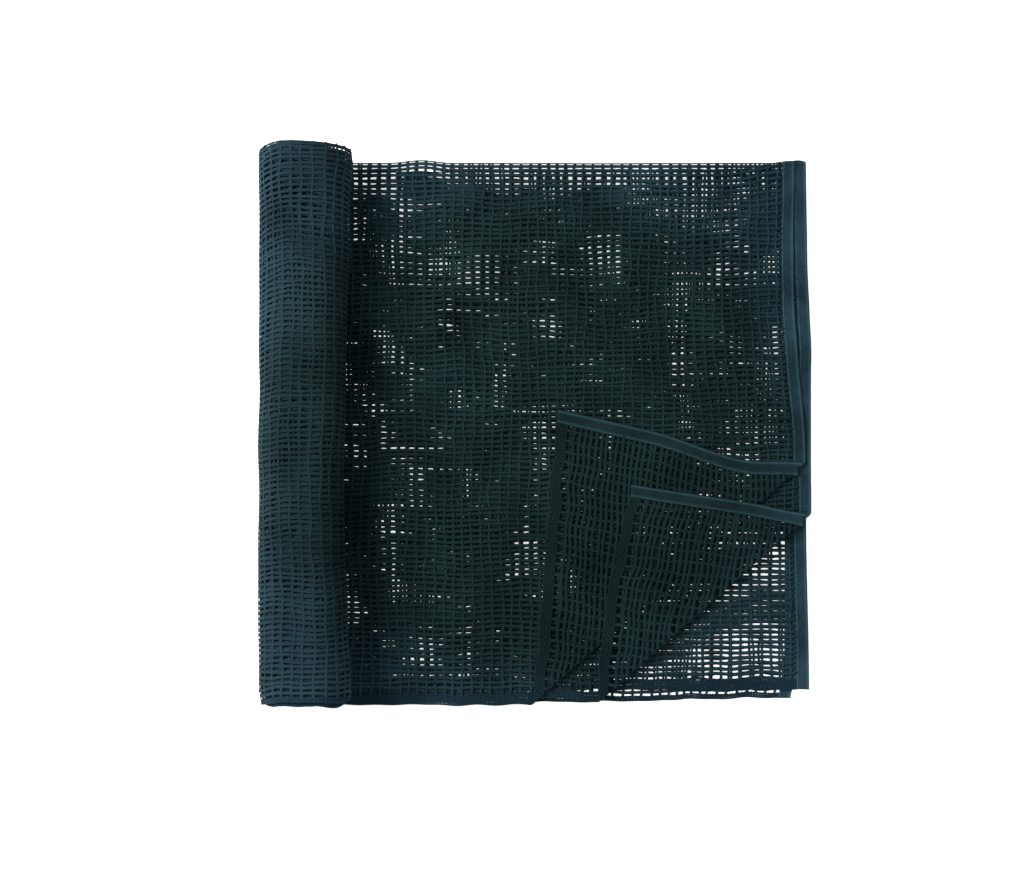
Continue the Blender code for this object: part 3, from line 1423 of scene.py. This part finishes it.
@dataclass(frozen=True)
class CoreFold:
    """The end-to-end fold at the roll's core, which joins an outer and an inner layer."""

    outer: ClothLayer
    inner: ClothLayer
    weave: Weave = Weave()
    leg: float = 0.003
    steps: int = 10

    def net(self, name: str) -> bpy.types.Object:
        """Make the fold's net: each row goes round it, with a few columns across them.

        Args:
            name: the object's name.

        Returns:
            The fold's net as one object.
        """
        skin = Skin(sides=4)
        rows = self.weave.rows(0.0, self.outer.span)
        ends = []
        for layer in (self.outer, self.inner):
            u = np.full(len(rows), layer.flat_length + layer.roll.length - 1e-5)
            ends.append(layer.place(u, rows, np.zeros(len(rows)))[0])
        angles = np.linspace(0.0, math.pi, self.steps + 1)
        lines = []
        for low, high in zip(*ends):
            radius = abs(high[2] - low[2]) / 2
            reach = self.leg + radius * np.sin(angles)
            arc = low + (high - low) * ((1 - np.cos(angles)) / 2)[:, None]
            arc[:, 0] -= reach
            points = np.concatenate([[low], arc, [high]])
            turned = np.column_stack([np.sin(angles), 0 * angles, np.cos(angles)])
            normals = np.concatenate([turned[:1], turned, turned[-1:]])
            lines.append(points)
            skin.lay(points, normals, *self.section(len(points)))
        across = np.array(lines)
        for index in range(2, across.shape[1] - 2, 3):
            column = across[:, index]
            outward = np.tile(np.array([1.0, 0.0, 0.0]), (len(column), 1))
            skin.lay(column, outward, *self.section(len(column)))
        return dress(skin.build(name), NET_YARN, Slot.NET)

    def section(self, count: int) -> tuple[np.ndarray, np.ndarray]:
        """Return half the width and half the thickness at each of a yarn's points."""
        return np.full(count, self.weave.row_half_width), np.full(count, self.weave.half_height)


@dataclass(frozen=True)
class FoldedStack:
    """The whole cloth as it lies: four layers, two long folds, the roll and two turned corners."""

    gap: float = 0.0003
    hem_bows: dict[int, Bow] = field(
        default_factory=lambda: {
            1: Bow(
                (
                    (-0.150, 0.0025),
                    (-0.079, -0.0035),
                    (-0.022, 0.0045),
                    (0.110, -0.0052),
                    (0.161, -0.0056),
                    (0.217, -0.0045),
                )
            ),
            2: Bow(
                (
                    (-0.2205, 0.001),
                    (-0.120, 0.002),
                    (-0.066, -0.0012),
                    (-0.0225, -0.0015),
                    (0.057, -0.0015),
                    (0.098, -0.003),
                    (0.161, -0.005),
                    (0.217, -0.0056),
                )
            ),
            3: Bow(((-0.213, 0.0012), (-0.069, -0.0013), (0.100, -0.003), (0.225, -0.006))),
            4: Bow(((-0.225, 0.0), (-0.205, 0.0052), (0.0, 0.0058), (0.225, 0.006))),
        }
    )
    flap_drop: float = 0.0003
    band_widths: tuple[float, ...] = (0.0, 0.009, 0.009, 0.009, 0.0045)
    upper_top: Bow = Bow(((0.150, 0.0), (0.216, 0.0095)))
    lower_top: Bow = Bow(((-0.125, 0.0), (-0.097, 0.0025), (-0.070, 0.0)))
    low_bows: dict[int, Bow] = field(
        default_factory=lambda: {
            1: Bow(
                (
                    (-0.03, -0.003),
                    (0.0, -0.0035),
                    (0.04, -0.0015),
                    (0.1, -0.0015),
                    (0.17, 0.0),
                    (0.218, 0.001),
                )
            ),
            2: Bow(
                (
                    (0.0, 0.0),
                    (0.045, -0.004),
                    (0.085, -0.011),
                    (0.135, -0.0105),
                    (0.185, -0.0055),
                    (0.2285, 0.0),
                )
            ),
            3: Bow(((-0.02, 0.0), (0.03, -0.0014), (0.2, -0.0014))),
            4: Bow(((0.0, 0.0), (0.210, 0.004))),
        }
    )
    roll_flare: Bow = Bow(((-0.222, 0.003), (-0.056, -0.002), (0.030, 0.0), (0.160, 0.003), (0.225, 0.006)))

    def layers(self) -> dict[int, ClothLayer]:
        """Return the four layers, measured from the frame."""
        made = {}
        net_right = {}
        for pair in ((1, 2), (3, 4)):
            tops = [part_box(f"layer_{n}_hem")[0].x + self.hem_bows[n].knots[-1][1] for n in pair]
            net_right.update({number: sum(tops) / 2 for number in pair})
        for number in (1, 2, 3, 4):
            net_low, net_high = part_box(f"layer_{number}_net")
            edge_low, edge_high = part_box(f"layer_{number}_selvage")
            hem_low, hem_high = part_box(f"layer_{number}_hem")
            made[number] = ClothLayer(
                number=number,
                hem_inner=hem_low.x,
                hem_outer=hem_high.x,
                net_right=net_right[number],
                low=edge_low.y,
                inner_y=edge_high.y,
                span=net_high.y - edge_high.y,
                height=(net_low.z + net_high.z) / 2,
                roll=RollPath(net_low.x - self.gap / 2),
                crease=self.crease(number, hem_high.x, edge_low.y, (net_low.z + net_high.z) / 2),
                hem_bow=self.hem_bows[number],
                low_bow=self.low_bows.get(number, Bow()),
                top_bow=self.upper_top if number <= 2 else self.lower_top,
                flare=self.roll_flare,
                band_width=self.band_widths[number],
            )
        return made

    def crease(self, number: int, right: float, low: float, height: float) -> Crease | None:
        """Return the crease of a layer's corner, read from the frame's joint.

        Args:
            number: the layer's number.
            right: X of the corner's outer side.
            low: Y of its low side.
            height: the height of the layer.

        Returns:
            The crease, or None if the layer's corner isn't turned.
        """
        found = [joint for joint in frame["joints"] if joint["name"] == f"flap_{number}_turn"]
        if not found:
            return None
        point = np.array(found[0]["pos_m"], float)
        axis = np.array(found[0]["axis"], float)
        outward = np.array([axis[1], -axis[0]]) / math.hypot(axis[0], axis[1])
        corners = np.array([v.co for v in frame["nodes"][f"flap_{number}_hem"].data.vertices])[:, :2]
        inward_reach = -(corners - point[:2]) @ outward
        tip = corners[int(np.argmax(inward_reach))]
        flap_height = 2 * point[2] - height - self.flap_drop
        corner = np.array(fanned(right, low))
        return Crease(point[:2], outward, corner, tip, height, flap_height)

    def ride_all(self, pieces: list[bpy.types.Object], body: Body) -> None:
        """Make pieces ride on a body."""
        for piece in pieces:
            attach(piece, body.value)

    def build_layer(self, layer: ClothLayer) -> None:
        """Build a layer's flat stretch, its turned corner and its wound stretch.

        Args:
            layer: the layer.
        """
        build = LayerBuild(layer)
        net = build.flat_net()
        going = [build.flat_band(), *build.flat_hem()]
        self.ride_all([net, *going], Body.CLOTH)
        width = layer.span
        length = layer.flat_length
        area = width * length
        outer, inner, band = build.wound_pieces()
        self.ride_all([outer, inner, band], Body.CLOTH)
        turn = build.outer_turn
        layer.roll.length - turn
        if layer.crease is not None:
            body = FLAP_BODIES[layer.number]
            corner, bends = build.turned_pieces()
            self.ride_all(corner, body)
            self.ride_all(bends, Body.CLOTH)
            kept = CREASE_KEPT[layer.number]
            for piece in bends:
                f"flap_{layer.number}_turn"
                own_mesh(piece)
            legs = self.corner_legs(layer)
            cut = legs[0] * legs[1] / 2
            area -= cut
            going.extend(bends)

    def corner_legs(self, layer: ClothLayer) -> tuple[float, float]:
        """Return the turned corner's two straight sides, inside its hem and woven edge.

        Args:
            layer: the layer that the corner belongs to.

        Returns:
            The lengths of the two sides.
        """
        crease = layer.crease
        depth = float(crease.depth(layer.hem_inner, layer.inner_y)) - crease.end
        return depth / abs(crease.outward[1]), depth / abs(crease.outward[0])

    def build_folds(self, layers: dict[int, ClothLayer]) -> None:
        """Build the long folds and the folds at the roll's core.

        Args:
            layers: the four layers, by number.
        """
        for word, upper, lower in (("upper", 1, 2), ("lower", 3, 4)):
            fold = PairFold(layers[upper], layers[lower])
            columns = LayerBuild(layers[lower]).net_columns()
            flat = columns[columns < layers[lower].flat_length]
            wound = columns[columns > layers[lower].flat_length]
            wound = wound[wound < layers[upper].flat_length + layers[upper].roll.length]
            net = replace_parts(fold.net(f"{word}_fold_mesh", flat, 5), f"{word}_pair_fold")
            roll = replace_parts(fold.net(f"{word}_roll_fold", wound, 4), f"roll_{word}_fold")
            self.ride_all([net, roll, fold.hem(f"{word}_fold_hem")], Body.CLOTH)
        for word, outer, inner in (("outer", 4, 1), ("inner", 3, 2)):
            piece = CoreFold(layers[outer], layers[inner]).net(f"core_{word}_mesh")
            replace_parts(piece, f"core_fold_{word}")
            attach(piece, Body.CLOTH.value)

    def build(self) -> None:
        """Build every piece of the cloth."""
        layers = self.layers()
        for layer in layers.values():
            self.build_layer(layer)
        self.build_folds(layers)


@dataclass(frozen=True)
class Studio:
    """A pale floor, soft lights and a camera that looks down from in front."""

    target: tuple[float, float, float] = (-0.0218, -0.004, 0.0)
    elevation: float = 83.0
    distance: float = 1.38
    lens: float = 58.2
    floor_size: float = 60.0
    floor_colour: tuple[float, float, float] = (0.90, 0.90, 0.90)
    floor_glow: float = 0.75
    key_power: float = 46.0
    fill_power: float = 6.0
    sky: float = 0.35
    backdrop: float = 0.95

    def floor(self) -> None:
        """Lay the floor, a broad pale surface that glows a little."""
        bpy.ops.mesh.primitive_grid_add(x_subdivisions=8, y_subdivisions=8, size=self.floor_size)
        floor = bpy.context.object
        floor.name = "studio_floor"
        floor.location.z = -0.0006
        material = bpy.data.materials.new("floor_paper")
        material.use_nodes = True
        shader = material.node_tree.nodes["Principled BSDF"]
        shader.inputs["Base Color"].default_value = (*self.floor_colour, 1.0)
        shader.inputs["Roughness"].default_value = 0.9
        shader.inputs["Emission Color"].default_value = (1.0, 1.0, 1.0, 1.0)
        shader.inputs["Emission Strength"].default_value = self.floor_glow
        floor.data.materials.append(material)

    def light(self, name: str, place: tuple[float, float, float], size: float, power: float) -> None:
        """Hang a soft square light that faces the cloth.

        Args:
            name: the lamp's name.
            place: where it hangs.
            size: the length of its sides.
            power: its power in watts.
        """
        lamp = bpy.data.lights.new(name, "AREA")
        lamp.size = size
        lamp.energy = power
        holder = bpy.data.objects.new(name, lamp)
        holder.location = place
        holder.rotation_euler = (-Vector(place)).to_track_quat("-Z", "Y").to_euler()
        bpy.context.scene.collection.objects.link(holder)

    def world(self) -> None:
        """Fill the room with even white light."""
        world = bpy.data.worlds.new("studio_room")
        world.use_nodes = True
        background = world.node_tree.nodes["Background"]
        background.inputs["Color"].default_value = (1.0, 1.0, 1.0, 1.0)
        shading = Shading(world.node_tree)
        seen = shading.add("LightPath", {}, "Is Camera Ray")
        more = self.backdrop - self.sky
        strength = shading.add("Math", {0: seen, 1: more, 2: self.sky}, operation="MULTIPLY_ADD")
        world.node_tree.links.new(strength, background.inputs["Strength"])
        bpy.context.scene.world = world

    def camera(self) -> None:
        """Set up the camera."""
        data = bpy.data.cameras.new("camera")
        data.lens = self.lens
        data.sensor_width = 36.0
        holder = bpy.data.objects.new("camera", data)
        tilt = math.radians(self.elevation)
        back = Vector((0.0, -math.cos(tilt), math.sin(tilt)))
        holder.location = Vector(self.target) + back * self.distance
        holder.rotation_euler = (-back).to_track_quat("-Z", "Y").to_euler()
        bpy.context.scene.collection.objects.link(holder)
        bpy.context.scene.camera = holder

    def build(self) -> None:
        """Set up the whole studio."""
        self.floor()
        self.world()
        self.light("key", (-1.4, 0.4, 1.2), 1.0, self.key_power)
        self.light("fill", (0.9, -0.9, 1.4), 1.6, self.fill_power)
        self.camera()
        bpy.context.scene.view_settings.view_transform = "Standard"


def main() -> None:
    """Build the cloth and its studio."""
    logging.basicConfig(level=logging.INFO, format="%(message)s")
    FoldedStack().build()
    Studio().build()


if __name__ == "__main__":
    main()
